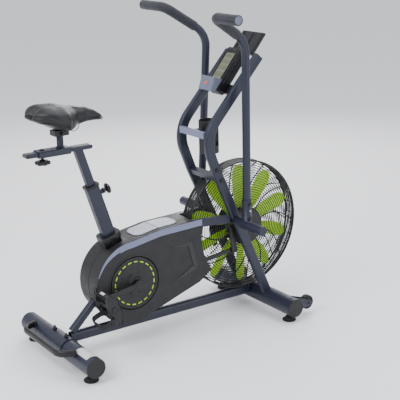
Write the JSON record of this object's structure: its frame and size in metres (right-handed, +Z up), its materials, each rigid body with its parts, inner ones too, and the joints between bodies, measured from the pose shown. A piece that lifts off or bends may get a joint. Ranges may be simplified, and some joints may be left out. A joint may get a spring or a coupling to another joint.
{
  "type": "air bike",
  "caption": "Exercise bike with a caged fan driven by pedals and by swinging arm levers, with an adjustable saddle and a console.",
  "frame": {"origin": "centre of the footprint of the whole machine, on the floor under its levelling feet", "axes": "+X to the rider's right, +Y forwards towards the fan, +Z up"},
  "size_m": [0.7278, 1.2174, 1.2895],
  "materials": {
    "frame_paint": "satin powder coat",
    "light_trim": "satin",
    "cover_plastic": "fine texture",
    "black_plastic": "moulded",
    "foam_grip": "closed-cell foam",
    "rubber": "matte",
    "saddle_skin": "soft grain",
    "wire_black": "semi-gloss",
    "blade_lime": "satin",
    "steel": "brushed",
    "tread_silver": "textured",
    "screen": "gloss",
    "button_grey": "satin",
    "button_red": "gloss",
    "webbing": "woven"
  },
  "bodies": {
    "root": {"rear_stabiliser": "frame_paint", "front_stabiliser": "frame_paint", "stabiliser_caps": "cover_plastic", "levelling_feet": "rubber", "carry_handle": "black_plastic", "clamp_plate": "frame_paint", "frame_bolts": "wire_black", "lower_rail": "frame_paint", "inner_frame": "frame_paint", "seat_tube": "frame_paint", "tube_collar": "black_plastic", "tube_boot": "black_plastic", "legs": "frame_paint", "masts": "frame_paint", "mast_bars": "light_trim", "side_tubes": "frame_paint", "fan_brackets": "wire_black", "lever_bushes": "steel", "bottle_cage": "black_plastic", "cover_right": "cover_plastic", "cover_left": "cover_plastic", "cover_band": "cover_plastic", "cover_trims": "light_trim", "tread_pads": "tread_silver", "cage_right": "wire_black", "cage_left": "wire_black", "cage_band": "wire_black", "hub_covers": "cover_plastic", "fan_axle": "steel", "console_body": "black_plastic", "console_lens": "screen", "button_box": "button_grey", "device_tray": "black_plastic", "drive_belt": "rubber"},
    "crank": {"crank_axle": "steel", "drive_pulley": "black_plastic", "crank_discs": "cover_plastic", "crank_arms": "wire_black"},
    "pedal_r": {"pedal_right": "black_plastic", "strap_right": "webbing"},
    "pedal_l": {"pedal_left": "black_plastic", "strap_left": "webbing"},
    "fan": {"fan_hub": "black_plastic", "fan_blades": "blade_lime"},
    "lever_r": {"lever_right": "frame_paint", "grip_right": "foam_grip"},
    "lever_l": {"lever_left": "frame_paint", "grip_left": "foam_grip"},
    "link_r": {"rod_right": "wire_black"},
    "link_l": {"rod_left": "wire_black"},
    "post": {"seat_post": "frame_paint"},
    "slider": {"seat_slider": "frame_paint", "saddle_clamp": "black_plastic", "saddle_base": "black_plastic", "saddle_pad": "saddle_skin"},
    "clamp_knob": {"slider_knob": "black_plastic"},
    "pull_pin": {"pin_knob": "black_plastic"},
    "button": {"console_button": "button_red"},
    "wheel_r": {"wheel_right": "rubber"},
    "wheel_l": {"wheel_left": "rubber"}
  },
  "joints": [
    {"name": "crank_spin", "type": "hinge", "parent": "root", "child": "crank", "pos_m": [0, -0.2175, 0.262], "axis": [-1, 0, 0], "continuous": true},
    {"name": "fan_spin", "type": "hinge", "parent": "root", "child": "fan", "pos_m": [0, 0.3355, 0.378], "axis": [-1, 0, 0], "continuous": true},
    {"name": "pedal_right_spin", "type": "hinge", "parent": "crank", "child": "pedal_r", "pos_m": [0.161, -0.38541, 0.23541], "axis": [-1, 0, 0], "continuous": true},
    {"name": "pedal_left_spin", "type": "hinge", "parent": "crank", "child": "pedal_l", "pos_m": [-0.161, -0.04959, 0.28859], "axis": [-1, 0, 0], "continuous": true},
    {"name": "lever_right_swing", "type": "hinge", "parent": "root", "child": "lever_r", "pos_m": [0, 0.2435, 0.43], "axis": [-1, 0, 0], "range_deg": [-8.3, 11.7]},
    {"name": "lever_left_swing", "type": "hinge", "parent": "root", "child": "lever_l", "pos_m": [0, 0.2435, 0.43], "axis": [-1, 0, 0], "range_deg": [-11.7, 8.3]},
    {"name": "rod_right_pivot", "type": "hinge", "parent": "lever_r", "child": "link_r", "pos_m": [0.06, 0.2578, 0.29592], "axis": [-1, 0, 0], "range_deg": [-11.7, 8.3]},
    {"name": "rod_left_pivot", "type": "hinge", "parent": "lever_l", "child": "link_l", "pos_m": [-0.06, 0.24982, 0.29531], "axis": [-1, 0, 0], "range_deg": [-8.3, 11.7]},
    {"name": "post_height", "type": "slide", "parent": "root", "child": "post", "axis": [0, -0.294, 0.9558], "range_m": [-0.11, 0.09]},
    {"name": "saddle_fore_aft", "type": "slide", "parent": "post", "child": "slider", "axis": [0, 1, 0], "range_m": [-0.035, 0.015]},
    {"name": "clamp_knob_turn", "type": "hinge", "parent": "slider", "child": "clamp_knob", "pos_m": [0, -0.5355, 0.78], "axis": [0, 0, 1], "range_deg": [-180, 180]},
    {"name": "pin_pull", "type": "slide", "parent": "root", "child": "pull_pin", "axis": [0, 0.9558, 0.294], "range_m": [0, 0.01], "stiffness_N_per_m": 800, "springref_m": -0.004},
    {"name": "console_button_press", "type": "slide", "parent": "root", "child": "button", "axis": [0, 0.9397, -0.342], "range_m": [0, 0.0025], "stiffness_N_per_m": 400, "springref_m": -0.001},
    {"name": "wheel_right_spin", "type": "hinge", "parent": "root", "child": "wheel_r", "pos_m": [0.2275, 0.5085, 0.056], "axis": [1, 0, 0], "continuous": true},
    {"name": "wheel_left_spin", "type": "hinge", "parent": "root", "child": "wheel_l", "pos_m": [-0.2275, 0.5085, 0.056], "axis": [1, 0, 0], "continuous": true}
  ],
  "couplings": [
    {"joint": "fan_spin", "follows": "crank_spin", "ratio": 4.3182},
    {"joint": "lever_left_swing", "follows": "lever_right_swing", "ratio": -1},
    {"joint": "rod_right_pivot", "follows": "lever_right_swing", "ratio": -1},
    {"joint": "rod_left_pivot", "follows": "lever_right_swing", "ratio": 1}
  ]
}
